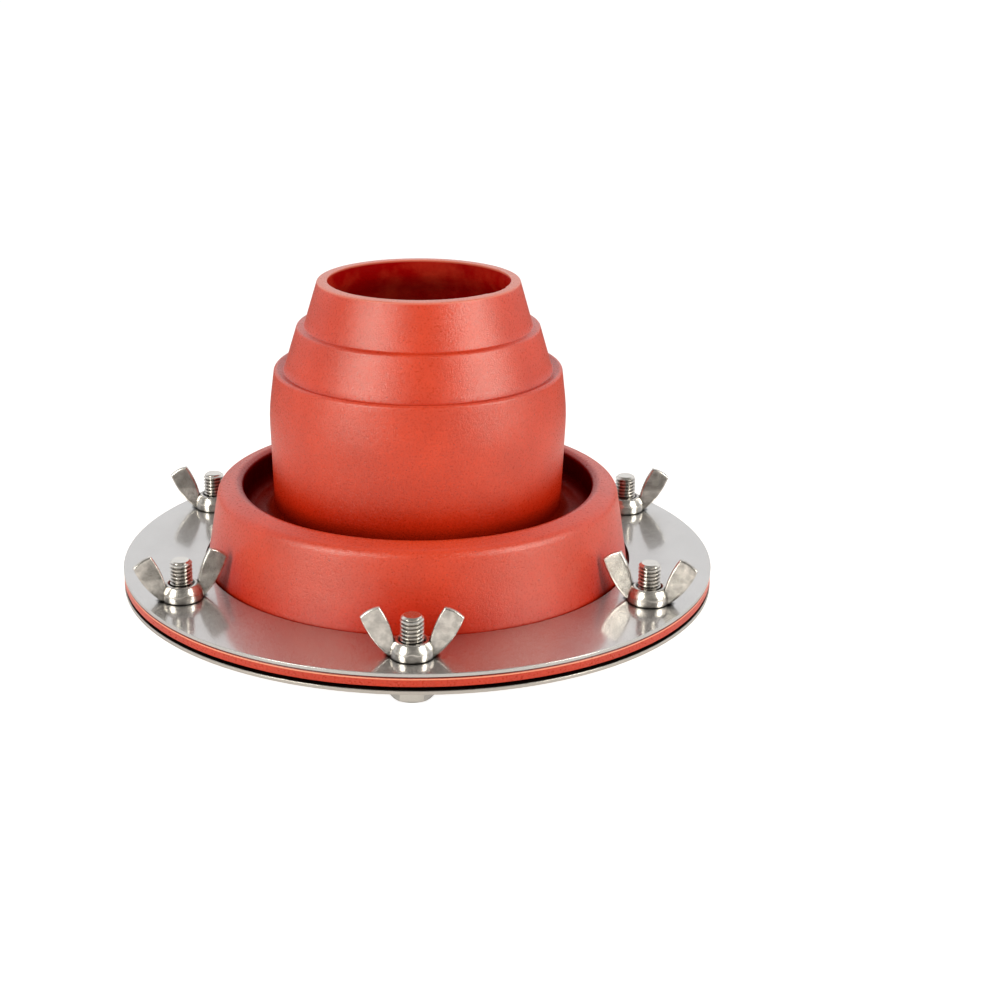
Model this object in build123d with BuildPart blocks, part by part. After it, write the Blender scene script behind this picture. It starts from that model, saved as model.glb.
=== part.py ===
from build123d import *
import os
from math import cos, hypot, radians, sin, tan

# Tent stove jack: a moulded silicone flue boot, clamped through the tent wall between
# two steel rings by six hex bolts with wing nuts. It is 160 mm across and 86.6 mm high.
# Z runs up the flue, with zero at the underside of the bolt heads, and -Y is the front.
# Radii are built up from the flue bore outwards, and heights from the bolt heads upwards.

os.makedirs("parts", exist_ok=True)

# Flue mouth
flue_bore_diameter = 48.0
mouth_land_depth = 0.048
mouth_land_length = 4.0
mouth_land_taper = 1.2
mouth_inner_edge_radius = 0.25
mouth_outer_edge_radius = 0.55

# Boot wall, flange and the sealing ribs under it
boot_wall = 2.5
flange_setback = 0.25
flange_top_edge_radius = 0.5
flange_bottom_edge_radius = 0.1
fabric_gap = 1.0
seal_rib_width = 2.0
inside_fillet = 1.0

# Upper and lower tiers, each a cone that widens by its flare down to a ledge
upper_tier_height = 11.95
upper_tier_flare = 3.55
upper_ledge_width = 1.95
upper_ledge_rise = 0.1
lower_tier_height = 11.75
lower_tier_flare = 3.55
lower_ledge_width = 2.6
lower_ledge_dip = 0.7
tier_shoulder_radius = 0.9
crease_radius = 0.35

# Body, slightly barrelled between its shoulder and its foot in the moat
body_height = 40.1
body_shoulder_set_in = 1.5
body_waist_drop = 11.7
body_foot_set_in = 1.05
body_waist_fillet = 50.0
body_shoulder_radius = 1.3

# Moat and collar, folded from the same wall
moat_width = 8.4
moat_depth = 7.8
moat_floor_radius = 3.0
rim_width = 6.8
rim_crown_set_in = 2.0
rim_crown_radius = 1.8
rim_inner_dip = 0.95
rim_inner_radius = 1.2
rim_outer_fall = 1.65
rim_outer_radius = 3.0
collar_height = 22.75
collar_flare = 3.45
collar_root_radius = 0.4

# Clamp rings
ring_thickness = 1.0
ring_edge_break = 0.12
ring_outer_land = 10.6
ring_to_collar_clearance = 0.3

# Hex bolts
bolt_count = 6
thread_diameter = 6.0
bolt_length = 16.0
bolt_tip_chamfer = 0.8
head_across_flats = 10.0
head_height = 4.9
head_chamfer_width = 0.25
head_chamfer_angle = 35.0
bolt_hole_clearance = 0.3

# Wing nut hub, which turns on the thread with a running clearance
nut_running_clearance = 0.05
hub_wall = 2.4
hub_top_wall = 1.2
hub_height = 4.3
hub_wall_height = 2.3
hub_edge_radius = 0.35
hub_seat_radius = 0.25
hub_bore_chamfer = 0.5

# Wings, with reaches beyond the hub's wall and heights above the nut's seat
wing_tip_reach = 7.0
wing_tip_height = 10.0
wing_top_reach = 2.35
wing_top_height = 12.6
wing_tip_bow = 0.45
wing_outer_bow_reach = 4.2
wing_outer_bow_height = 4.45
wing_inner_bow_set_in = 0.1
wing_inner_bow_height = 7.9
wing_root_depth = 1.05
wing_root_height = 3.8
wing_thickness = 1.5
wing_root_thickness = 3.0
wing_flat_foot_height = 4.7
wing_edge_bevel = 0.25
wing_to_collar_clearance = 1.3425

# How far each nut's wings are turned from the X direction, counted round from the front
wing_turns = [0.0, -21.0, 0.0, 14.0, 3.0, 23.0]

# The largest share of a narrow ledge, moat or rim that one fillet may take
fillet_share = 0.36

# Levels of the clamped stack
lower_ring_level = head_height
lower_ring_top = lower_ring_level + ring_thickness
flange_underside = lower_ring_top + fabric_gap
flange_top = flange_underside + boot_wall
upper_ring_top = flange_top + ring_thickness

# Levels up the boot
collar_top = flange_top + collar_height
moat_rim = collar_top - rim_inner_dip
moat_floor = moat_rim - moat_depth
body_shoulder = moat_floor + body_height
body_waist = body_shoulder - body_waist_drop
lower_crease = body_shoulder - lower_ledge_dip
lower_shoulder = lower_crease + lower_tier_height
upper_crease = lower_shoulder + upper_ledge_rise
mouth_level = upper_crease + upper_tier_height

# Radii from the bore out to the collar
bore_radius = flue_bore_diameter / 2
mouth_slope = upper_tier_flare / upper_tier_height
mouth_radius = bore_radius + mouth_land_depth + boot_wall * hypot(1, mouth_slope)
upper_crease_radius = mouth_radius + upper_tier_flare
lower_shoulder_radius = upper_crease_radius + upper_ledge_width
lower_crease_radius = lower_shoulder_radius + lower_tier_flare
body_radius_at_shoulder = lower_crease_radius + lower_ledge_width
body_radius_at_waist = body_radius_at_shoulder + body_shoulder_set_in
body_radius_at_foot = body_radius_at_waist - body_foot_set_in
moat_outer_radius = body_radius_at_foot + moat_width
collar_radius_at_top = moat_outer_radius + rim_width
collar_radius_at_base = collar_radius_at_top + collar_flare
collar_side_height = collar_height - rim_outer_fall

# Nut and bolt radii
bolt_radius = thread_diameter / 2
bolt_hole_radius = bolt_radius + bolt_hole_clearance
nut_bore_radius = bolt_radius + nut_running_clearance
hub_radius = nut_bore_radius + hub_wall
hub_top_radius = nut_bore_radius + hub_top_wall

# The bolt circle leaves the wings room to turn past the collar at the height of their tips.
wing_sweep_radius = hub_radius + wing_tip_reach
collar_radius_at_wings = (
    collar_radius_at_base - collar_flare * (ring_thickness + wing_tip_height) / collar_side_height
)
bolt_circle_radius = collar_radius_at_wings + wing_to_collar_clearance + wing_sweep_radius
ring_radius = bolt_circle_radius + ring_outer_land
ring_hole_radius = collar_radius_at_base + collar_root_radius + ring_to_collar_clearance
flange_radius = ring_radius - flange_setback

# Bolt angles, the first at the front
first_bolt_angle = -90.0
bolt_angles = [first_bolt_angle + place * 360 / bolt_count for place in range(bolt_count)]


def bolt_point(angle, level):
    """The point at a level on the bolt that stands at an angle round the flue."""
    return (
        bolt_circle_radius * cos(radians(angle)),
        bolt_circle_radius * sin(radians(angle)),
        level,
    )


def set_in(corners, depth):
    """The corners of an outline whose runs are moved sideways by a depth, to their left."""
    runs = [(end - start).normalized() for start, end in zip(corners, corners[1:])]
    sides = [Vector(-run.Y, run.X) for run in runs]
    between = [
        corner + (before + after) * (depth / (1 + before.dot(after)))
        for corner, before, after in zip(corners[1:-1], sides, sides[1:])
    ]
    return [corners[0] + sides[0] * depth, *between, corners[-1] + sides[-1] * depth]


# Boot: one section of even wall, turned about the flue axis. Its skin runs from the flange's
# edge over the collar, through the moat and up the tiers, and past the mouth, where it is trimmed.
trim_height = 2 * boot_wall
rim_outer_fillet = min(rim_outer_radius, (1 - fillet_share) * (rim_width - rim_crown_set_in))
rim_crown_fillet = min(rim_crown_radius, rim_crown_set_in)
rim_inner_fillet = min(rim_inner_radius, (1 - fillet_share) * rim_crown_set_in)
fold_fillet = fillet_share * (rim_width - 2 * boot_wall)
moat_fillet = min(moat_floor_radius, fillet_share * moat_width)
lower_ledge_fillet = fillet_share * lower_ledge_width
upper_ledge_fillet = fillet_share * upper_ledge_width
rim_crown = Vector(moat_outer_radius + rim_crown_set_in, collar_top)
skin = [
    Vector(flange_radius, flange_top),
    Vector(collar_radius_at_base, flange_top),
    Vector(collar_radius_at_top, collar_top - rim_outer_fall),
    rim_crown,
    Vector(moat_outer_radius, moat_rim),
    Vector(moat_outer_radius, moat_floor),
    Vector(body_radius_at_foot, moat_floor),
    Vector(body_radius_at_waist, body_waist),
    Vector(body_radius_at_shoulder, body_shoulder),
    Vector(lower_crease_radius, lower_crease),
    Vector(lower_shoulder_radius, lower_shoulder),
    Vector(upper_crease_radius, upper_crease),
    Vector(mouth_radius - mouth_slope * trim_height, mouth_level + trim_height),
]
skin_fillets = [
    collar_root_radius,
    rim_outer_fillet,
    rim_crown_fillet,
    rim_inner_fillet,
    moat_fillet,
    moat_fillet,
    body_waist_fillet,
    min(body_shoulder_radius, lower_ledge_fillet),
    crease_radius,
    min(tier_shoulder_radius, upper_ledge_fillet),
    crease_radius,
]

# The rim's crown stands on the outside only, as a thicker bead.
inside = set_in([corner for corner in skin if corner is not rim_crown], boot_wall)
inside_fillets = [
    collar_root_radius + boot_wall,
    min(inside_fillet, fold_fillet),
    min(inside_fillet, fold_fillet),
    moat_fillet + boot_wall,
    moat_fillet + boot_wall,
    body_waist_fillet - boot_wall,
    min(inside_fillet, lower_ledge_fillet),
    min(inside_fillet, lower_ledge_fillet),
    min(inside_fillet, upper_ledge_fillet),
    min(inside_fillet, upper_ledge_fillet),
]

# The mouth's land ends in a taper that runs out inside the wall.
land_root_radius = mouth_radius - boot_wall / 2 + mouth_slope * mouth_land_taper

# The ribs stand midway between the bolt holes and the edges of what they seal.
inner_rib_radius = (ring_hole_radius + bolt_circle_radius - bolt_hole_radius) / 2
outer_rib_radius = (flange_radius + bolt_circle_radius + bolt_hole_radius) / 2

with BuildPart() as boot:
    with BuildSketch(Plane.XZ):
        with BuildLine():
            FilletPolyline(*skin, radius=skin_fillets)
            Line(skin[-1], inside[-1])
            FilletPolyline(*inside, radius=inside_fillets)
            Line(inside[0], skin[0])
        make_face()
        fillet(vertices().group_by(Axis.X)[-1].sort_by(Axis.Y)[-1], radius=flange_top_edge_radius)
        fillet(vertices().group_by(Axis.X)[-1].sort_by(Axis.Y)[0], radius=flange_bottom_edge_radius)
        with BuildLine():
            Polyline(
                (bore_radius, mouth_level),
                (bore_radius, mouth_level - mouth_land_length),
                (land_root_radius, mouth_level - mouth_land_length - mouth_land_taper),
                (land_root_radius, mouth_level),
                close=True,
            )
        make_face()
        with Locations((0, mouth_level)):
            Rectangle(ring_radius, 2 * trim_height, align=Align.MIN, mode=Mode.SUBTRACT)
        for rib_radius in (inner_rib_radius, outer_rib_radius):
            with Locations((rib_radius, flange_underside)):
                Rectangle(seal_rib_width, fabric_gap, align=(Align.CENTER, Align.MAX))
    revolve(axis=Axis.Z)
    mouth_edges = edges().group_by(Axis.Z)[-1].sort_by(SortBy.RADIUS)
    fillet(mouth_edges[-1], radius=mouth_outer_edge_radius)
    fillet(edges().group_by(Axis.Z)[-1].sort_by(SortBy.RADIUS)[0], radius=mouth_inner_edge_radius)
    with PolarLocations(bolt_circle_radius, bolt_count, start_angle=first_bolt_angle):
        Hole(bolt_hole_radius)

boot.part.label = "boot"
export_step(boot.part, "parts/boot.step")

# Clamp rings: two blanks of one pattern, above and below the flange
for ring_name, ring_level in (("lower_ring", lower_ring_level), ("upper_ring", flange_top)):
    with BuildPart() as ring:
        with BuildSketch(Plane.XY.offset(ring_level)):
            Circle(ring_radius)
            Circle(ring_hole_radius, mode=Mode.SUBTRACT)
            with PolarLocations(bolt_circle_radius, bolt_count, start_angle=first_bolt_angle):
                Circle(bolt_hole_radius, mode=Mode.SUBTRACT)
        extrude(amount=ring_thickness)
        rim_edges = edges().filter_by(GeomType.CIRCLE).group_by(SortBy.RADIUS)[-1]
        chamfer(rim_edges, length=ring_edge_break)
    ring.part.label = ring_name
    export_step(ring.part, f"parts/{ring_name}.step")

# Bolts: the head bears on the lower ring from below, with a flat facing outwards
head_corner_radius = head_across_flats / 2 / cos(radians(30))
head_chamfer_radius = head_across_flats / 2 - head_chamfer_width
head_chamfer_height = (head_corner_radius - head_chamfer_radius) * tan(radians(head_chamfer_angle))
for number, angle in enumerate(bolt_angles, start=1):
    with BuildPart() as bolt:
        with BuildSketch(Plane.XY):
            RegularPolygon(head_across_flats / 2, side_count=6, major_radius=False, rotation=30)
        extrude(amount=head_height)
        with BuildSketch(Plane.XZ):
            with BuildLine():
                Polyline(
                    (0, 0),
                    (head_chamfer_radius, 0),
                    (head_corner_radius, head_chamfer_height),
                    (head_corner_radius, head_height),
                    (0, head_height),
                    close=True,
                )
            make_face()
        revolve(axis=Axis.Z, mode=Mode.INTERSECT)
        with BuildSketch(Plane.XY.offset(head_height)):
            Circle(bolt_radius)
        extrude(amount=bolt_length)
        chamfer(edges().group_by(Axis.Z)[-1], length=bolt_tip_chamfer)
    bolt.part.label = f"bolt_{number}"
    bolt.part.location = Location(bolt_point(angle, 0), (0, 0, angle))
    export_step(bolt.part, f"parts/bolt_{number}.step")

# Wing nuts: a turned hub with two forged wings, each a flat blade that thickens to its root.
# A wing's outline is drawn on the XZ plane, from the hub's seat round the tip to the hub's top.
wing_tip = Vector(hub_radius + wing_tip_reach, wing_tip_height)
wing_top = Vector(hub_radius + wing_top_reach, wing_top_height)
wing_root = Vector(hub_radius - wing_root_depth, wing_root_height)
wing_outer_bow = Vector(hub_radius + wing_outer_bow_reach, wing_outer_bow_height)
wing_inner_bow = Vector(hub_radius - wing_inner_bow_set_in, wing_inner_bow_height)
tip_run = wing_top - wing_tip
tip_outwards = Vector(tip_run.Y, -tip_run.X).normalized()
wing_tip_middle = (wing_tip + wing_top) / 2 + tip_outwards * wing_tip_bow
wing_seat = Vector(hub_radius, 0)
wing_core_radius = (nut_bore_radius + hub_top_radius) / 2
wing_top_limit = wing_top_height + wing_tip_bow
for number, angle in enumerate(bolt_angles, start=1):
    with BuildPart() as wing_nut:
        with BuildSketch(Plane.XZ):
            with BuildLine():
                ThreePointArc(wing_seat, wing_outer_bow, wing_tip)
                ThreePointArc(wing_tip, wing_tip_middle, wing_top)
                ThreePointArc(wing_top, wing_inner_bow, wing_root)
                Polyline(
                    wing_root,
                    (wing_core_radius, wing_root_height),
                    (wing_core_radius, 0),
                    wing_seat,
                )
            make_face()
            mirror(about=Plane.YZ)
        extrude(amount=wing_root_thickness / 2, both=True)
        with BuildSketch(Plane.YZ):
            with BuildLine():
                Polyline(
                    (0, 0),
                    (wing_root_thickness / 2, 0),
                    (wing_thickness / 2, wing_flat_foot_height),
                    (wing_thickness / 2, wing_top_limit),
                    (0, wing_top_limit),
                    close=True,
                )
            make_face()
            mirror(about=Plane.YZ)
        extrude(amount=wing_sweep_radius, both=True, mode=Mode.INTERSECT)
        blade_edges = faces().filter_by(Axis.Y).edges().filter_by(GeomType.CIRCLE)
        chamfer(blade_edges, length=wing_edge_bevel)
        with BuildSketch(Plane.XZ):
            with BuildLine():
                FilletPolyline(
                    (nut_bore_radius, 0),
                    (hub_radius, 0),
                    (hub_radius, hub_wall_height),
                    (hub_top_radius, hub_height),
                    (nut_bore_radius + hub_bore_chamfer, hub_height),
                    (nut_bore_radius, hub_height - hub_bore_chamfer),
                    radius=[0, hub_seat_radius, hub_edge_radius, hub_edge_radius, 0, 0],
                    close=True,
                )
            make_face()
        revolve(axis=Axis.Z)
    wing_nut.part.label = f"wing_nut_{number}"
    turn = wing_turns[(number - 1) % len(wing_turns)]
    wing_nut.part.location = Location(bolt_point(angle, upper_ring_top), (0, 0, turn))
    export_step(wing_nut.part, f"parts/wing_nut_{number}.step")
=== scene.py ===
from math import atan2, ceil, cos, degrees, hypot, pi, radians, sin

import bmesh
import bpy
from mathutils import Matrix, Vector, noise


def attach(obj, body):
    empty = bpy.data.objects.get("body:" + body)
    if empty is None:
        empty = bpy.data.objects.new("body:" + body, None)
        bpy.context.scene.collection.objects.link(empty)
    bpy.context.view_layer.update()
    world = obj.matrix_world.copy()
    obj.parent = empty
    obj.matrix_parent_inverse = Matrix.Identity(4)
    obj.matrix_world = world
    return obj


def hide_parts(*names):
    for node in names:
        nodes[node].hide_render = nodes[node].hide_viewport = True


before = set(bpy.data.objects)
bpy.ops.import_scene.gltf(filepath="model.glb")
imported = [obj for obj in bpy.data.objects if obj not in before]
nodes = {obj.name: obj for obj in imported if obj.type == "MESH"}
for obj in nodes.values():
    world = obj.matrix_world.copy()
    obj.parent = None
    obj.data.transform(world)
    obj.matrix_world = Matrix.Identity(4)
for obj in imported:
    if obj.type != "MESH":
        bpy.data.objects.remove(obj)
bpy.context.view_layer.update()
bolt_numbers = range(1, 7)
mm = 0.001
same_point = 1e-7    # points closer together than this are one
seam_slack = 1e-6    # how far off its plane a point of a solid's seam may lie

# Camera, fitted to a frame 1002 pixels square whose optical axis is left of the middle
frame_pixels = 1002
focal_pixels = 1829.67
axis_pixel_x = 417.2
axis_pixel_y = 480.5
camera_pitch = radians(18.968)
camera_swing = radians(1.0)
camera_distance = 470.70 * mm
camera_height = 192.61 * mm
sensor_width = 36.0

# Sizes and levels that the solids also have
bolt_circle_radius = 69.4 * mm
bolt_hole_radius = 3.3 * mm
mouth_level = 86.6 * mm
mouth_bore_radius = 24.0 * mm
flange_top = 9.4 * mm
head_height = 4.9 * mm
head_across_flats = 10.0 * mm
bolt_end = 20.9 * mm

# Where two faces meet at more than these angles, in degrees, the shading has a crease
boot_crease = 35
bolt_crease = 32
ring_crease = 30
nut_crease = 40

# Boot, turned from the solid's own section
boot_segments = 360
section_spacing = 0.11 * mm
longest_run = 3.0 * mm
drill_low = 5.0 * mm
drill_high = 10.0 * mm
drill_sides = 48

# The knife's second cut inside the mouth, with its two angles in degrees
second_cut_from = -42.0
second_cut_to = 40.0
second_cut_depth = 0.45 * mm
second_cut_width = 0.32 * mm
second_cut_reach = 0.6 * mm
second_cut_fade = 30

# The moulding's small faults: a wavy flange edge with a gate mark, and an uneven, leaning wall
flange_edge_from = 78.5 * mm
flange_edge_low = 6.0 * mm
flange_edge_high = 9.5 * mm
flange_spread = 0.22 * mm
flange_wave = 0.10 * mm
gate_angle = -86.0
gate_half_angle = 0.6
gate_low = 7.5 * mm
gate_high = 8.8 * mm
gate_height = 0.05 * mm
wall_foot = 12 * mm
hand_unevenness = 0.06 * mm
boot_lean = 0.005

# The mouth's thicker front, and the run-out of its bore into the hollow below
lip_depth = 3.0 * mm
lip_reach = 0.7 * mm
lip_thickening = 0.7 * mm
land_depth = 3.9 * mm
bore_run_out = 5.1 * mm
bore_run_out_reach = 27.5 * mm

# Screw thread, M6 by 1
thread_pitch = 1.0 * mm
thread_crest_radius = 2.93 * mm
thread_root_radius = 2.4 * mm
thread_crest_share = 0.14
thread_root_share = 0.20
thread_sides = 72
thread_start = 0.2 * mm
tip_chamfer = 0.75 * mm
tip_dip = 0.04 * mm

# Hexagon head
head_sides = 96
head_chamfer = 0.35 * mm
head_rise = 0.55 * mm
head_edge = 0.08 * mm

# Wing nut, with heights above its seat; a wing's outline is given by points of (reach, height)
nut_seat_level = 10.4 * mm
nut_bore_radius = 3.05 * mm
nut_bore_chamfer = 0.5 * mm
hub_radius = 5.45 * mm
hub_wall_height = 2.3 * mm
hub_top_radius = 4.25 * mm
hub_height = 4.3 * mm
hub_segments = 96
hub_unevenness = 0.05 * mm
hub_uneven_from = 4.0 * mm
forging_flat = 5.30 * mm
forging_flat_from = 1.0 * mm
wing_seat = (5.30 * mm, 0.02 * mm)
wing_outer_bow = (9.65 * mm, 4.45 * mm)
wing_tip = (12.45 * mm, 10.0 * mm)
wing_top = (7.80 * mm, 12.6 * mm)
wing_inner_bow = (5.35 * mm, 7.9 * mm)
wing_root = (4.2 * mm, 3.6 * mm)
wing_length = 11.0 * mm
wing_tip_bow = 0.45 * mm
tip_direction = (0.488, 0.873)
wing_half_width = 0.75 * mm
wing_root_half_width = 1.5 * mm
wing_foot_height = 6.2 * mm
wing_edge_radius = 0.45 * mm

# How far each nut's wings are turned from the X direction, in degrees, counted round from the front
wing_turns = [0.0, -21.0, 0.0, 14.0, 3.0, 23.0]

# Colours of the silicone's marks and of its painted light and shade, the floor and the lamps
speck_colour = (0.22, 0.012, 0.006)
# painted shade: the flue's inside, coloured darker than the outer skin
painted_inner_shade_colour = (0.30, 0.001, 0.001)
inner_lighter_patch_colour = (0.42, 0.022, 0.010)
# the mouth's paler matt cut face, made lighter still by a painted highlight
cut_and_highlight_colour = (0.70, 0.185, 0.12)
# painted highlight: the light line along the flange's top edge
flange_highlight_colour = (1.0, 0.42, 0.26)
# painted shadow: the dark line on the flange just under the ring's edge
shadow_under_ring_colour = (0.10, 0.010, 0.006)
floor_colour = (0.55, 0.52, 0.49)
floor_colour_behind = (0.30, 0.29, 0.28)
lamp_colour = (1.0, 0.98, 0.88)

# Studio: brightness of the room's parts and of the floor, and the two softboxes, in metres and degrees
front_room = 0.30
back_room = 1.0
ceiling_share = 0.8
floor_seen = 0.88
# painted reflection: how brightly the floor in front glows for reflected rays
floor_reflection_glow = 0.33
floor_half_width = 4.0
softbox_azimuths = {"left_softbox": -47, "right_softbox": 61}
softbox_elevation = 20
softbox_distance = 0.8
softbox_width = 0.28
softbox_height = 0.5
softbox_power = 4.6
softbox_aim = Vector((0, 0, 40 * mm))


def link(name, mesh):
    """An object for a mesh, in the scene."""
    piece = bpy.data.objects.new(name, mesh)
    bpy.context.scene.collection.objects.link(piece)
    return piece


def mesh_from(name, build):
    """A mesh made by a function that fills a bmesh."""
    shape = bmesh.new()
    build(shape)
    bmesh.ops.recalc_face_normals(shape, faces=shape.faces)
    mesh = bpy.data.meshes.new(name)
    shape.to_mesh(mesh)
    shape.free()
    return mesh


def smooth(piece, angle):
    """Smooth shading, with a crease wherever two faces meet at more than an angle."""
    for face in piece.data.polygons:
        face.use_smooth = True
    piece.data.set_sharp_from_angle(angle=radians(angle))


def join_columns(shape, columns):
    """Faces between neighbouring columns of points that stand in a ring, each column a closed loop."""
    for column, beside in zip(columns, columns[1:] + columns[:1]):
        for row in range(len(column)):
            above = (row + 1) % len(column)
            shape.faces.new((column[row], beside[row], beside[above], column[above]))


def lathe(name, section, segments, reach):
    """A closed section of (radius, height) points turned about Z, with each radius given by reach."""

    def build(shape):
        columns = []
        for step in range(segments):
            angle = 2 * pi * step / segments
            column = []
            for radius, height in section:
                radius = reach(radius, height, degrees(angle))
                column.append(shape.verts.new((radius * cos(angle), radius * sin(angle), height)))
            columns.append(column)
        join_columns(shape, columns)

    return link(name, mesh_from(name, build))


def bolt_place(number):
    """The axis of a numbered bolt, on the floor: the first at the front, then counter-clockwise."""
    angle = radians(-90 + 60 * (number - 1))
    return Vector((bolt_circle_radius * cos(angle), bolt_circle_radius * sin(angle), 0)), angle


def drill(piece, radius, low, high):
    """Cuts the six bolt holes through a turned piece."""

    def build(shape):
        for number in bolt_numbers:
            middle, _ = bolt_place(number)
            middle.z = (low + high) / 2
            bmesh.ops.create_cone(
                shape, cap_ends=True, segments=drill_sides, radius1=radius, radius2=radius,
                depth=high - low, matrix=Matrix.Translation(middle),
            )

    drills = link("drills", mesh_from("drills", build))
    cut = piece.modifiers.new("holes", "BOOLEAN")
    cut.operation = "DIFFERENCE"
    cut.solver = "EXACT"
    cut.object = drills
    bpy.context.view_layer.update()
    drilled = bpy.data.meshes.new_from_object(piece.evaluated_get(bpy.context.evaluated_depsgraph_get()))
    piece.modifiers.remove(cut)
    piece.data = drilled
    bpy.data.objects.remove(drills)


def seam_section(node):
    """The section of a turned CAD solid, as ordered (radius, height) points along its seam."""
    mesh = node.data
    keys = {}
    for vertex in mesh.vertices:
        x, y, z = vertex.co
        if abs(y) < seam_slack and x > 0:
            keys[vertex.index] = (round(x, 7), round(z, 7))
    beside = {key: set() for key in keys.values()}
    for edge in mesh.edges:
        start, end = (keys.get(index) for index in edge.vertices)
        if start and end and start != end:
            beside[start].add(end)
            beside[end].add(start)
    first = max(beside, key=lambda key: (key[0], key[1]))
    loop = [first]
    while True:
        following = [key for key in beside[loop[-1]] if key not in loop[-2:]]
        if not following:
            break
        nearest = min(following, key=lambda key: hypot(key[0] - loop[-1][0], key[1] - loop[-1][1]))
        if nearest == first or nearest in loop:
            break
        loop.append(nearest)
    return loop


def refine(section, longest):
    """A section whose long runs are divided into shorter ones."""
    found = []
    for (r0, z0), (r1, z1) in zip(section, section[1:] + section[:1]):
        parts = max(1, ceil(hypot(r1 - r0, z1 - z0) / longest))
        found += [(r0 + (r1 - r0) * part / parts, z0 + (z1 - z0) * part / parts) for part in range(parts)]
    return found


# Materials
def new_material(name):
    """An empty node material with a Principled shader: (material, its nodes, its links, the shader)."""
    material = bpy.data.materials.new(name)
    material.use_nodes = True
    tree = material.node_tree
    return material, tree.nodes, tree.links, tree.nodes["Principled BSDF"]


def noise_value(tree_nodes, links, where, scale, detail=4.0, roughness=0.55):
    """A noise texture over the object's own space, and its value."""
    texture = tree_nodes.new("ShaderNodeTexNoise")
    texture.inputs["Scale"].default_value = scale
    texture.inputs["Detail"].default_value = detail
    texture.inputs["Roughness"].default_value = roughness
    links.new(where, texture.inputs["Vector"])
    return texture.outputs["Fac"]


def ramp(tree_nodes, links, value, stops):
    """A colour ramp over a value, from (place, colour) pairs."""
    node = tree_nodes.new("ShaderNodeValToRGB")
    for number, (place, colour) in enumerate(stops):
        if number < 2:
            stop = node.color_ramp.elements[number]
            stop.position = place
        else:
            stop = node.color_ramp.elements.new(place)
        stop.color = (*colour, 1)
    links.new(value, node.inputs["Fac"])
    return node.outputs["Color"]


def mix_colours(tree_nodes, links, share, first, second, blend="MIX"):
    """Two colours mixed by a share, each a socket or a colour."""
    node = tree_nodes.new("ShaderNodeMix")
    node.data_type = "RGBA"
    node.blend_type = blend
    for socket, given in ((node.inputs[0], share), (node.inputs[6], first), (node.inputs[7], second)):
        if isinstance(given, bpy.types.NodeSocket):
            links.new(given, socket)
        elif isinstance(given, tuple):
            socket.default_value = (*given, 1)
        else:
            socket.default_value = given
    return node.outputs[2]


def spread(tree_nodes, links, value, low, high, from_low=0.0, from_high=1.0):
    """A value between two limits spread between two others."""
    node = tree_nodes.new("ShaderNodeMapRange")
    node.inputs["From Min"].default_value = from_low
    node.inputs["From Max"].default_value = from_high
    node.inputs["To Min"].default_value = low
    node.inputs["To Max"].default_value = high
    links.new(value, node.inputs["Value"])
    return node.outputs["Result"]


def times(tree_nodes, links, first, second):
    """The product of two values."""
    node = tree_nodes.new("ShaderNodeMath")
    node.operation = "MULTIPLY"
    links.new(first, node.inputs[0])
    links.new(second, node.inputs[1])
    return node.outputs["Value"]


def bump(tree_nodes, links, value, strength, distance, over=None):
    """A bump from a height value, over the surface's own normal or a given one."""
    node = tree_nodes.new("ShaderNodeBump")
    node.inputs["Strength"].default_value = strength
    node.inputs["Distance"].default_value = distance
    links.new(value, node.inputs["Height"])
    if over:
        links.new(over, node.inputs["Normal"])
    return node.outputs["Normal"]


def openness(tree_nodes, distance):
    """How open a point is to its surroundings: 1 in the open, and less in a groove or a hollow."""
    node = tree_nodes.new("ShaderNodeAmbientOcclusion")
    node.samples = 8
    node.inputs["Distance"].default_value = distance
    return node.outputs["AO"]


def separate(tree_nodes, links, vector):
    """The X, Y and Z of a vector."""
    node = tree_nodes.new("ShaderNodeSeparateXYZ")
    links.new(vector, node.inputs["Vector"])
    return node.outputs


def inward_share(tree_nodes, links):
    """1 where a surface faces the flue's axis, and 0 where it faces away from it or upwards."""
    coordinates = tree_nodes.new("ShaderNodeTexCoord")
    outwards = tree_nodes.new("ShaderNodeVectorMath")
    outwards.operation = "MULTIPLY"
    outwards.inputs[1].default_value = (1, 1, 0)
    links.new(coordinates.outputs["Object"], outwards.inputs[0])
    direction = tree_nodes.new("ShaderNodeVectorMath")
    direction.operation = "NORMALIZE"
    links.new(outwards.outputs["Vector"], direction.inputs[0])
    facing = tree_nodes.new("ShaderNodeVectorMath")
    facing.operation = "DOT_PRODUCT"
    links.new(direction.outputs["Vector"], facing.inputs[0])
    links.new(coordinates.outputs["Normal"], facing.inputs[1])
    return spread(tree_nodes, links, facing.outputs["Value"], 0.0, 1.0, -0.35, -0.8)


def band(tree_nodes, links, height, low, high, strength):
    """A share of a height that fades in between two levels and out between two others."""
    fade_in = spread(tree_nodes, links, height, 0.0, strength, *low)
    fade_out = spread(tree_nodes, links, height, 1.0, 0.0, *high)
    return times(tree_nodes, links, fade_in, fade_out)


def outer_skin(tree_nodes, links, where, grain):
    """The silicone's outer colour: clouded, finely grained and flecked with dark specks."""
    clouds = noise_value(tree_nodes, links, where, 60.0, 6.0, 0.65)
    specks = noise_value(tree_nodes, links, where, 1900.0, 2.0, 0.5)
    base = ramp(tree_nodes, links, clouds, [(0.35, (0.58, 0.036, 0.005)), (0.65, (0.67, 0.045, 0.007))])
    shades = ramp(tree_nodes, links, grain, [(0.35, (0.6, 0.6, 0.6)), (0.65, (1.0, 1.0, 1.0))])
    grained = mix_colours(tree_nodes, links, 0.5, base, shades, "MULTIPLY")
    dark = ramp(tree_nodes, links, specks, [(0.25, (1.0, 1.0, 1.0)), (0.31, (0.0, 0.0, 0.0))])
    return mix_colours(tree_nodes, links, dark, grained, speck_colour)


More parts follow.
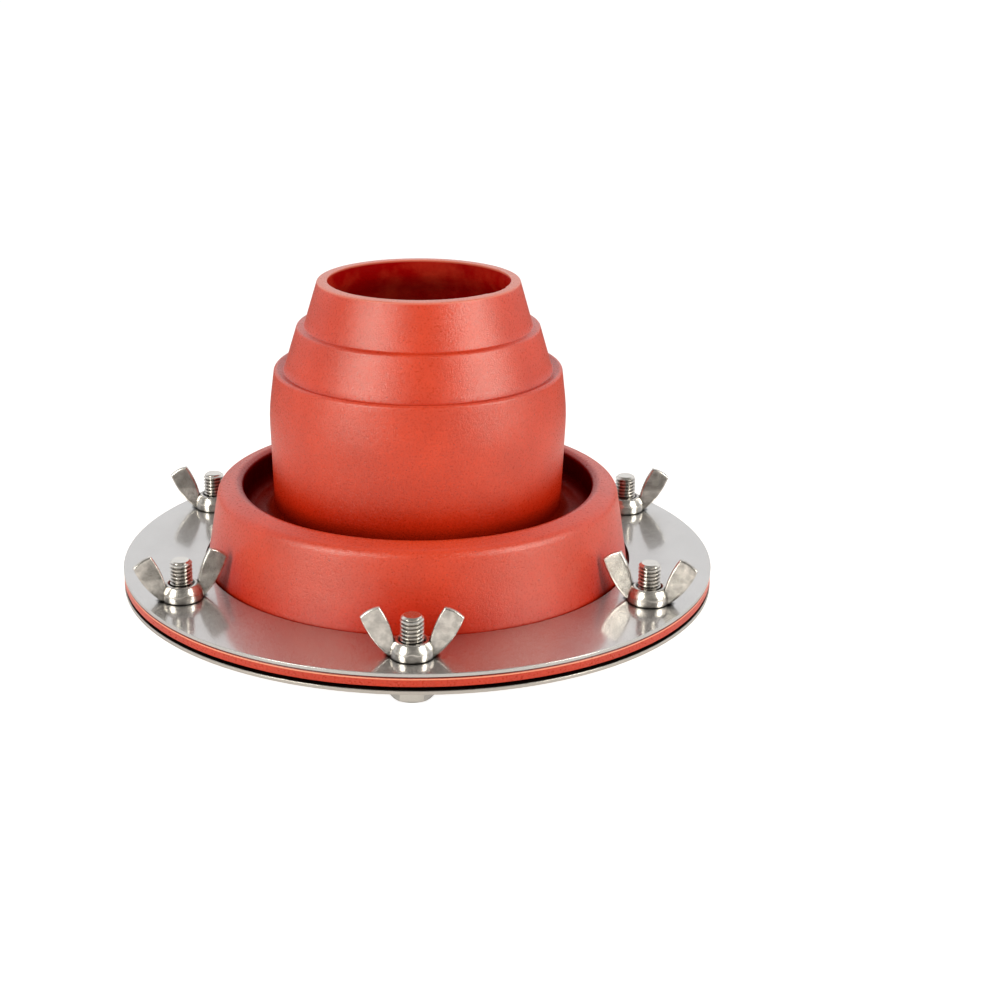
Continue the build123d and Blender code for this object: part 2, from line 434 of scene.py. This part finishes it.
def shaded_inner_skin(tree_nodes, links, where):
    """The silicone's colour inside the flue, painted shade: a deep red darker than the outer skin, with
    lighter patches.
    """
    lighter_patches = noise_value(tree_nodes, links, where, 110.0, 5.0, 0.6)
    return ramp(tree_nodes, links, lighter_patches, [(0.45, painted_inner_shade_colour), (0.70, inner_lighter_patch_colour)])


def with_cut_and_painted_light(tree_nodes, links, colour, height):
    """The bands at set heights: the mouth's paler cut face, lightened further by a painted highlight; a
    painted highlight on the flange's top edge; and a painted shadow above it, under the ring's edge.
    """
    # the pale cut face with its painted highlight, at the mouth's top
    cut_and_highlight_share = spread(tree_nodes, links, height, 0.0, 0.8, mouth_level - 0.6 * mm, mouth_level - 0.2 * mm)
    # painted highlight along the flange's top edge
    flange_highlight = band(
        tree_nodes, links, height,
        (flange_top - 0.75 * mm, flange_top - 0.60 * mm),
        (flange_top - 0.45 * mm, flange_top - 0.35 * mm), 0.8,
    )
    # painted shadow under the ring's edge
    shadow_under_ring = band(
        tree_nodes, links, height,
        (flange_top - 0.40 * mm, flange_top - 0.25 * mm),
        (flange_top + 0.01 * mm, flange_top + 0.02 * mm), 0.9,
    )
    for share, mark in ((cut_and_highlight_share, cut_and_highlight_colour), (flange_highlight, flange_highlight_colour), (shadow_under_ring, shadow_under_ring_colour)):
        colour = mix_colours(tree_nodes, links, share, colour, mark)
    return colour


def silicone_material():
    """Iron-oxide red silicone with a satin skin, with painted shade that darkens it in recesses and inside
    the flue, where it is also duller.
    """
    material, tree_nodes, links, shader = new_material("red_silicone")
    where = tree_nodes.new("ShaderNodeTexCoord").outputs["Object"]
    grain = noise_value(tree_nodes, links, where, 1700.0, 5.0, 0.75)
    open_share = openness(tree_nodes, 25.0 * mm)
    turned_inwards = inward_share(tree_nodes, links)
    # painted shade: surfaces that face the flue's axis take the darker inner colour
    with_inner_shade = mix_colours(
        tree_nodes, links, turned_inwards,
        outer_skin(tree_nodes, links, where, grain), shaded_inner_skin(tree_nodes, links, where),
    )
    # painted shade: the colour darkens where the surface is closed in
    painted_hollow_shade = ramp(tree_nodes, links, open_share, [
        (0.15, (0.18, 0.02, 0.02)),
        (0.50, (0.85, 0.45, 0.45)),
        (0.80, (1.0, 1.0, 1.0)),
    ])
    shaded = mix_colours(tree_nodes, links, 1.0, with_inner_shade, painted_hollow_shade, "MULTIPLY")
    height = separate(tree_nodes, links, where)["Z"]
    links.new(with_cut_and_painted_light(tree_nodes, links, shaded, height), shader.inputs["Base Color"])
    gloss = times(
        tree_nodes, links,
        spread(tree_nodes, links, open_share, 0.0, 0.75, 0.35, 0.75),
        spread(tree_nodes, links, turned_inwards, 1.0, 0.03),
    )
    links.new(gloss, shader.inputs["Specular IOR Level"])
    links.new(spread(tree_nodes, links, grain, 0.22, 0.40, 0.3, 0.7), shader.inputs["Roughness"])
    links.new(bump(tree_nodes, links, grain, 0.55, 0.2 * mm), shader.inputs["Normal"])
    return material


def steel_colour(tree_nodes, links, where, colour, patching, groove):
    """Steel's colour: a little patchy, with painted shade that darkens it in any groove narrower than a
    width.
    """
    patch_scale, patch_share = patching
    patches = noise_value(tree_nodes, links, where, patch_scale, 4.0)
    darker = tuple(patch_share * value for value in colour)
    patched = ramp(tree_nodes, links, patches, [(0.35, darker), (0.65, colour)])
    # painted shade in each groove and where parts meet
    painted_groove_shade = ramp(tree_nodes, links, openness(tree_nodes, groove), [
        (0.40, (0.04, 0.035, 0.03)),
        (0.90, (1.0, 1.0, 1.0)),
    ])
    return mix_colours(tree_nodes, links, 1.0, patched, painted_groove_shade, "MULTIPLY")


def steel_shine(tree_nodes, links, where, sharp, hazy, haze):
    """A roughness that is sharp at most of the pores and hazy at a share of them."""
    pores = noise_value(tree_nodes, links, where, 16000.0, 1.0)
    limit = 0.5 + 0.15 * (1 - 2 * haze)
    return spread(tree_nodes, links, pores, sharp, hazy, limit - 0.01, limit + 0.01)


def steel_normal(tree_nodes, links, where, grain_scale, bump_strength, edge):
    """Finely uneven metal whose edges are worn round."""
    worn = tree_nodes.new("ShaderNodeBevel")
    worn.samples = 8
    worn.inputs["Radius"].default_value = edge
    grain = noise_value(tree_nodes, links, where, grain_scale, 4.0, 0.65)
    return bump(tree_nodes, links, grain, bump_strength, 0.05 * mm, worn.outputs["Normal"])


def steel_material(name, colour, patching, groove, shine, unevenness):
    """Stainless steel, from its colour, patches (scale, share), the groove width of its painted shade, shine
    and unevenness.
    """
    material, tree_nodes, links, shader = new_material(name)
    where = tree_nodes.new("ShaderNodeTexCoord").outputs["Object"]
    for socket, value in (
        ("Base Color", steel_colour(tree_nodes, links, where, colour, patching, groove)),
        ("Roughness", steel_shine(tree_nodes, links, where, *shine)),
        ("Normal", steel_normal(tree_nodes, links, where, *unevenness)),
    ):
        links.new(value, shader.inputs[socket])
    shader.inputs["Metallic"].default_value = 1.0
    return material


silicone = silicone_material()

# Steels: shine is (sharp, hazy, share of haze), and unevenness is (grain scale, strength, worn edge)
ring_shine = (0.12, 0.45, 0.45)
ring_unevenness = (900.0, 0.04, 0.1 * mm)
ring_steel = steel_material(
    "ring_steel", (0.64, 0.63, 0.625), (90.0, 0.95), 1.1 * mm, ring_shine, ring_unevenness)
# painted shade: the lower ring under the flange takes a darker, warmer copy of the ring steel, with a wider
# groove shade
shaded_lower_ring_steel = steel_material(
    "shaded_lower_ring_steel", (0.58, 0.545, 0.51), (90.0, 0.95), 1.7 * mm, ring_shine, ring_unevenness)
bolt_steel = steel_material(
    "bolt_steel", (0.74, 0.71, 0.67), (300.0, 0.9), 0.8 * mm,
    shine=(0.12, 0.35, 0.3), unevenness=(1500.0, 0.10, 0.05 * mm))
nut_steel = steel_material(
    "nut_steel", (0.72, 0.69, 0.655), (600.0, 0.66), 1.5 * mm,
    shine=(0.20, 0.32, 0.35), unevenness=(1800.0, 0.4, 0.06 * mm))


def give(piece, material):
    """Puts one material on a piece."""
    piece.data.materials.clear()
    piece.data.materials.append(material)


# Boot
def half_turn(angle):
    """An angle brought between -180 and 180 degrees."""
    return (angle + 180) % 360 - 180


# Each of these gives a point's new radius from its radius, its height and its angle in degrees
def eased_bore(radius, height, angle):
    """The wall under the mouth's land, which runs out softly into the hollow below."""
    below_land = (mouth_level - land_depth - height) / bore_run_out
    if 0 < below_land < 1 and radius < bore_run_out_reach:
        radius = mouth_bore_radius + (radius - mouth_bore_radius) * below_land
    return radius


def moulding_faults(radius, height, angle):
    """Slight unevenness of a hand-trimmed moulding: a wavy flange edge, a gate mark and a soft wall."""
    turn = radians(angle)
    where = Vector((2.2 * cos(turn), 2.2 * sin(turn), 30 * height))
    if radius > flange_edge_from and flange_edge_low < height < flange_edge_high:
        radius += flange_spread - flange_wave * (0.5 + 0.5 * noise.noise(where * 5))
        if abs(half_turn(angle - gate_angle)) < gate_half_angle and gate_low < height < gate_high:
            radius += gate_height
    elif height > wall_foot:
        radius += hand_unevenness * noise.noise(where) + boot_lean * (height - wall_foot) * cos(turn)
    return radius


def second_cut(radius, height, angle):
    """The knife's second pass round part of the mouth's inner edge, which leaves a narrow step."""
    turn = half_turn(angle)
    at_inner_edge = height > mouth_level - second_cut_depth and radius < mouth_bore_radius + second_cut_reach
    if at_inner_edge and second_cut_from < turn < second_cut_to:
        radius += second_cut_width * min(1, (second_cut_to - turn) / second_cut_fade)
    return radius


def thick_lip(radius, height, angle):
    """The mouth's wall, which is a little thicker at the front."""
    if height > mouth_level - lip_depth and radius < mouth_bore_radius + lip_reach:
        radius -= lip_thickening * max(0, -sin(radians(angle))) ** 2
    return radius


def boot_radius(radius, height, angle):
    """A point of the boot's section with all the changes above, in their order."""
    for change in (eased_bore, moulding_faults, second_cut, thick_lip):
        radius = change(radius, height, angle)
    return radius


def thinned(section, nearest):
    """A section without the points that crowd closer together than a distance."""
    kept = [section[0]]
    for point in section[1:]:
        if hypot(point[0] - kept[-1][0], point[1] - kept[-1][1]) >= nearest:
            kept.append(point)
    return kept


def make_boot():
    """The boot, turned from its solid's section and drilled for the bolts."""
    section = refine(thinned(seam_section(nodes["boot"]), section_spacing), longest_run)
    boot = lathe("silicone_boot", section, boot_segments, boot_radius)
    drill(boot, bolt_hole_radius, drill_low, drill_high)
    smooth(boot, boot_crease)
    give(boot, silicone)
    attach(boot, "clamped_boot")
    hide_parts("boot")


# Bolts
def thread_radius(share):
    """The thread's radius at a share of one pitch, from crest to crest."""
    crest, root = thread_crest_share, thread_root_share
    flank = (1 - crest - root) / 2
    if share < crest / 2 or share > 1 - crest / 2:
        return thread_crest_radius
    if abs(share - 0.5) < root / 2:
        return thread_root_radius
    depth = (min(share, 1 - share) - crest / 2) / flank
    return thread_crest_radius + (thread_root_radius - thread_crest_radius) * depth


def add_thread(shape, low, high):
    """A right-handed thread between two levels, with a chamfered tip, drawn in rows along each pitch."""
    shares = [0, 0.07, 0.155, 0.24, 0.32, 0.40, 0.50, 0.60, 0.68, 0.76, 0.845, 0.93]
    rows_per_turn = len(shares)
    turns = ceil((high - low) / thread_pitch) + 2
    columns = []
    for step in range(thread_sides):
        angle = 2 * pi * step / thread_sides
        column = []
        for row in range(turns * rows_per_turn):
            share = shares[row % rows_per_turn]
            level = low + thread_pitch * (row // rows_per_turn - 1 + share + step / thread_sides)
            height = min(max(level, low), high)
            radius = min(thread_radius(share), thread_crest_radius - tip_chamfer + (high - height))
            column.append(shape.verts.new((radius * cos(angle), radius * sin(angle), height)))
        columns.append(column)
    for step, column in enumerate(columns):
        last = step == thread_sides - 1
        beside = columns[0] if last else columns[step + 1]
        ahead = rows_per_turn if last else 0
        for row in range(len(column) - 1 - ahead):
            shape.faces.new((column[row], beside[row + ahead], beside[row + ahead + 1], column[row + 1]))
    bmesh.ops.remove_doubles(shape, verts=shape.verts, dist=same_point)


def hexagon_radius(angle, across_flats):
    """How far a hexagon with a flat at angle zero reaches at an angle."""
    turn = (angle + pi / 6) % (pi / 3) - pi / 6
    return across_flats / 2 / cos(turn)


def head_levels(reach):
    """The head's outline from its face up, as (radius, height) where the hexagon reaches a radius."""
    face = head_across_flats / 2 - head_chamfer
    corner = head_across_flats / 2 / cos(pi / 6)
    return [
        (face, 0),
        (reach, head_rise * (reach - face) / (corner - face)),
        (reach, head_height - head_edge),
        (reach - head_edge, head_height),
    ]


def add_head(shape):
    """A hexagon head with the corners of its lower face turned away."""
    columns = []
    for step in range(head_sides):
        angle = 2 * pi * step / head_sides
        levels = head_levels(hexagon_radius(angle, head_across_flats))
        columns.append([
            shape.verts.new((radius * cos(angle), radius * sin(angle), height)) for radius, height in levels
        ])
    for column, beside in zip(columns, columns[1:] + columns[:1]):
        for row in range(len(column) - 1):
            shape.faces.new((column[row], beside[row], beside[row + 1], column[row + 1]))
    shape.faces.new([column[0] for column in columns])
    shape.faces.new([column[-1] for column in columns])


def add_tip(shape):
    """The slightly hollow face at a bolt's threaded end."""
    tip = [vertex for vertex in shape.verts if vertex.co.z > bolt_end - same_point]
    rim = sorted(tip, key=lambda vertex: atan2(vertex.co.y, vertex.co.x))
    centre = shape.verts.new((0, 0, bolt_end - tip_dip))
    for start, end in zip(rim, rim[1:] + rim[:1]):
        shape.faces.new((centre, start, end))


def bolt_mesh():
    """A whole bolt, with its head down."""

    def build(shape):
        add_thread(shape, head_height - thread_start, bolt_end)
        add_tip(shape)
        add_head(shape)

    return mesh_from("bolt", build)


def make_bolts():
    """The six bolts, each with a flat of its head outwards."""
    for number in bolt_numbers:
        bolt = link(f"threaded_bolt_{number}", bolt_mesh())
        place, angle = bolt_place(number)
        bolt.location = place
        bolt.rotation_euler = (0, 0, angle)
        smooth(bolt, bolt_crease)
        give(bolt, bolt_steel)
        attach(bolt, "clamped_boot")
        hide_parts(f"bolt_{number}")


# Rings
def make_rings():
    """The two rings, which keep their solids' own meshes."""
    for ring, steel in (("upper_ring", ring_steel), ("lower_ring", shaded_lower_ring_steel)):
        give(nodes[ring], steel)
        smooth(nodes[ring], ring_crease)


# Wing nuts
def arc_through(start, middle, end, share):
    """The point at a share of the way along the circle's arc through three points."""
    (x1, z1), (x2, z2), (x3, z3) = start, middle, end
    twice = 2 * (x1 * (z2 - z3) + x2 * (z3 - z1) + x3 * (z1 - z2))
    s1, s2, s3 = x1 * x1 + z1 * z1, x2 * x2 + z2 * z2, x3 * x3 + z3 * z3
    cx = (s1 * (z2 - z3) + s2 * (z3 - z1) + s3 * (z1 - z2)) / twice
    cz = (s1 * (x3 - x2) + s2 * (x1 - x3) + s3 * (x2 - x1)) / twice
    first = atan2(z1 - cz, x1 - cx)
    sweep = (atan2(z3 - cz, x3 - cx) - first + pi) % (2 * pi) - pi
    reach = hypot(x1 - cx, z1 - cz)
    angle = first + sweep * share
    return cx + reach * cos(angle), cz + reach * sin(angle)


def wing_half_thickness(height):
    """Half a wing's thickness at a height above the nut's seat."""
    thicker = max(0, 1 - height / wing_foot_height)
    return wing_half_width + (wing_root_half_width - wing_half_width) * thicker


def wing_point(row, column):
    """A wing's face at shares of the way from the hub to the tip, and from outer to inner edge."""
    outer = arc_through(wing_seat, wing_outer_bow, wing_tip, row)
    inner = arc_through(wing_root, wing_inner_bow, wing_top, row)
    bow = wing_tip_bow * 4 * column * (1 - column) * row ** 3
    x = outer[0] + (inner[0] - outer[0]) * column + bow * tip_direction[0]
    z = outer[1] + (inner[1] - outer[1]) * column + bow * tip_direction[1]
    width = hypot(inner[0] - outer[0], inner[1] - outer[1])
    to_tip = (1 - row) * wing_length
    near_edge = min(column * width, (1 - column) * width, to_tip) / wing_edge_radius
    rounding = wing_edge_radius * (1 - (1 - (1 - min(1, near_edge)) ** 2) ** 0.5)
    return x, wing_half_thickness(z) - rounding, z


def add_wing(shape, side):
    """One wing, a blade with rounded edges that thickens towards the hub."""
    steps = [0, 0.006, 0.02, 0.045, 0.08, 0.12, 0.2, 0.3, 0.4, 0.5]
    columns = steps + [1 - step for step in reversed(steps[:-1])]
    rows = [step / 36 for step in range(34)] + [0.955, 0.972, 0.985, 0.994, 1]
    faces = []
    for half in (1, -1):
        grid = []
        for row in rows:
            points = [wing_point(row, column) for column in columns]
            grid.append([shape.verts.new((side * x, half * y, z)) for x, y, z in points])
        for lower, upper in zip(grid, grid[1:]):
            for place in range(len(columns) - 1):
                shape.faces.new((lower[place], lower[place + 1], upper[place + 1], upper[place]))
        faces.append(grid)
    front, back = faces
    edges = [[line[0] for line in front], front[-1], [line[-1] for line in reversed(front)]]
    facing = [[line[0] for line in back], back[-1], [line[-1] for line in reversed(back)]]
    for front_edge, back_edge in zip(edges, facing):
        for place in range(len(front_edge) - 1):
            shape.faces.new((
                front_edge[place], front_edge[place + 1], back_edge[place + 1], back_edge[place],
            ))
    shape.faces.new([*front[0], *reversed(back[0])])


def rounded_corner(before, corner, after, radius, parts=5):
    """Points round a corner of an outline."""
    towards = [(p[0] - corner[0], p[1] - corner[1]) for p in (before, after)]
    units = [(dx / hypot(dx, dz), dz / hypot(dx, dz)) for dx, dz in towards]
    start = (corner[0] + units[0][0] * radius, corner[1] + units[0][1] * radius)
    end = (corner[0] + units[1][0] * radius, corner[1] + units[1][1] * radius)
    points = []
    for part in range(parts + 1):
        share = part / parts
        weights = ((1 - share) ** 2, 2 * share * (1 - share), share ** 2)
        points.append(tuple(
            weights[0] * start[axis] + weights[1] * corner[axis] + weights[2] * end[axis] for axis in (0, 1)
        ))
    return points


def hub_section():
    """The hub's closed section, from its bore's foot round its wall to its bore's top."""
    corners = [
        (nut_bore_radius, 0), (hub_radius, 0), (hub_radius, hub_wall_height), (hub_top_radius, hub_height),
        (nut_bore_radius + nut_bore_chamfer, hub_height), (nut_bore_radius, hub_height - nut_bore_chamfer),
    ]
    section = [corners[0]]
    for place, radius in ((1, 0.3 * mm), (2, 0.7 * mm), (3, 0.5 * mm), (4, 0.15 * mm)):
        section += rounded_corner(corners[place - 1], corners[place], corners[place + 1], radius)
    section.append(corners[5])
    return section


def hub_reach(radius, height, angle):
    """A radius of the hub, cut back by the forging dies' flats and slightly uneven on the wall."""
    reach = radius
    if height > forging_flat_from:
        reach = min(radius, forging_flat / max(abs(sin(angle)), 0.01))
    if radius > hub_uneven_from and height > 0:
        where = Vector((cos(angle) * 2, sin(angle) * 2, height / mm * 0.6))
        reach += hub_unevenness * noise.noise(where)
    return reach


def add_hub(shape):
    """The hub, with the flats that the forging dies leave midway between the wings."""
    section = hub_section()
    columns = []
    for step in range(hub_segments):
        angle = 2 * pi * step / hub_segments
        column = []
        for radius, height in section:
            reach = hub_reach(radius, height, angle)
            column.append(shape.verts.new((reach * cos(angle), reach * sin(angle), height)))
        columns.append(column)
    join_columns(shape, columns)


def make_nuts():
    """The six wing nuts, each turned as the photograph shows it."""

    def build(shape):
        add_hub(shape)
        for side in (1, -1):
            add_wing(shape, side)

    for number, turn in zip(bolt_numbers, wing_turns):
        nut = link(f"forged_wing_nut_{number}", mesh_from("wing_nut", build))
        nut.location, _ = bolt_place(number)
        nut.location.z = nut_seat_level
        nut.rotation_euler = (0, 0, radians(turn))
        smooth(nut, nut_crease)
        give(nut, nut_steel)
        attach(nut, f"wing_nut_{number}")
        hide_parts(f"wing_nut_{number}")


# Stage: floor, studio light and camera
def floor_material():
    """A table that the camera sees as paper white, that still takes a faint shadow, and whose part behind
    the object is duller, to darken what the rings mirror there. Its part in front glows for reflected rays
    alone, a painted reflection brightness in the steel."""
    material, tree_nodes, links, shader = new_material("studio_floor")
    where = tree_nodes.new("ShaderNodeTexCoord").outputs["Object"]
    behind = spread(tree_nodes, links, separate(tree_nodes, links, where)["Y"], 0.0, 1.0, 0.10, 0.17)
    links.new(
        mix_colours(tree_nodes, links, behind, floor_colour, floor_colour_behind),
        shader.inputs["Base Color"],
    )
    shader.inputs["Roughness"].default_value = 0.9
    shader.inputs["Specular IOR Level"].default_value = 0.0
    shader.inputs["Emission Color"].default_value = (1, 1, 1, 1)
    path = tree_nodes.new("ShaderNodeLightPath").outputs
    seen = spread(tree_nodes, links, path["Is Camera Ray"], 0.0, floor_seen)
    # painted reflection: the floor in front glows only where it is seen in the steel
    in_front = spread(tree_nodes, links, behind, floor_reflection_glow, 0.0)
    reflection_glow = times(tree_nodes, links, path["Is Glossy Ray"], in_front)
    both = tree_nodes.new("ShaderNodeMath")
    links.new(seen, both.inputs[0])
    links.new(reflection_glow, both.inputs[1])
    links.new(both.outputs["Value"], shader.inputs["Emission Strength"])
    return material


def make_floor():
    """The table under the bolt heads."""
    half = floor_half_width

    def build(shape):
        corners = [(-half, -half), (half, -half), (half, half), (-half, half)]
        shape.faces.new([shape.verts.new((x, y, 0)) for x, y in corners])

    floor = link("studio_floor", mesh_from("studio_floor", build))
    give(floor, floor_material())


def room_colour(tree_nodes, links):
    """The room by direction: white behind the part, dim on the photographer's side, greyer above."""
    direction = tree_nodes.new("ShaderNodeTexCoord").outputs["Generated"]
    parts = separate(tree_nodes, links, direction)
    walls = ramp(tree_nodes, links, spread(tree_nodes, links, parts["Y"], 0.0, 1.0, -1.0, 1.0), [
        (0.42, (front_room, 0.96 * front_room, 0.88 * front_room)),
        (0.66, (back_room, back_room, back_room)),
    ])
    ceiling = ramp(tree_nodes, links, parts["Z"], [
        (0.55, (1.0, 1.0, 1.0)),
        (0.80, (ceiling_share, ceiling_share, ceiling_share)),
    ])
    return mix_colours(tree_nodes, links, 1.0, walls, ceiling, "MULTIPLY")


def make_world():
    """The room that lights the part, and plain white where the camera sees past it."""
    world = bpy.data.worlds.new("studio")
    bpy.context.scene.world = world
    world.use_nodes = True
    tree_nodes, links = world.node_tree.nodes, world.node_tree.links
    background = tree_nodes["Background"]
    links.new(room_colour(tree_nodes, links), background.inputs["Color"])
    background.inputs["Strength"].default_value = 1.0
    seen = tree_nodes.new("ShaderNodeBackground")
    seen.inputs["Color"].default_value = (1, 1, 1, 1)
    seen.inputs["Strength"].default_value = 1.0
    path = tree_nodes.new("ShaderNodeLightPath")
    mixer = tree_nodes.new("ShaderNodeMixShader")
    links.new(path.outputs["Is Camera Ray"], mixer.inputs["Fac"])
    links.new(background.outputs["Background"], mixer.inputs[1])
    links.new(seen.outputs["Background"], mixer.inputs[2])
    links.new(mixer.outputs["Shader"], tree_nodes["World Output"].inputs["Surface"])


def make_softbox(name, azimuth):
    """An area light that looks at the middle of the part from an azimuth round from the front."""
    turn, rise = radians(azimuth), radians(softbox_elevation)
    away = Vector((sin(turn) * cos(rise), -cos(turn) * cos(rise), sin(rise)))
    light = bpy.data.lights.new(name, "AREA")
    light.shape = "RECTANGLE"
    light.size = softbox_width
    light.size_y = softbox_height
    light.energy = softbox_power
    light.color = lamp_colour
    lamp = bpy.data.objects.new(name, light)
    lamp.location = softbox_aim + away * softbox_distance
    lamp.rotation_mode = "QUATERNION"
    lamp.rotation_quaternion = away.to_track_quat("Z", "Y")
    bpy.context.scene.collection.objects.link(lamp)


def make_camera():
    """The photograph's camera, with its shift."""
    camera = bpy.data.objects.new("camera", bpy.data.cameras.new("camera"))
    camera.data.sensor_width = sensor_width
    camera.data.lens = sensor_width * focal_pixels / frame_pixels
    camera.data.shift_x = (frame_pixels / 2 - axis_pixel_x) / frame_pixels
    camera.data.shift_y = (axis_pixel_y - frame_pixels / 2) / frame_pixels
    camera.location = (
        camera_distance * sin(camera_swing),
        -camera_distance * cos(camera_swing),
        camera_height,
    )
    camera.rotation_euler = (pi / 2 - camera_pitch, 0, camera_swing)
    bpy.context.scene.collection.objects.link(camera)
    bpy.context.scene.camera = camera


make_boot()
make_bolts()
make_rings()
make_nuts()
make_floor()
make_world()
for softbox, softbox_azimuth in softbox_azimuths.items():
    make_softbox(softbox, softbox_azimuth)
make_camera()

bpy.context.scene.view_settings.view_transform = "Standard"
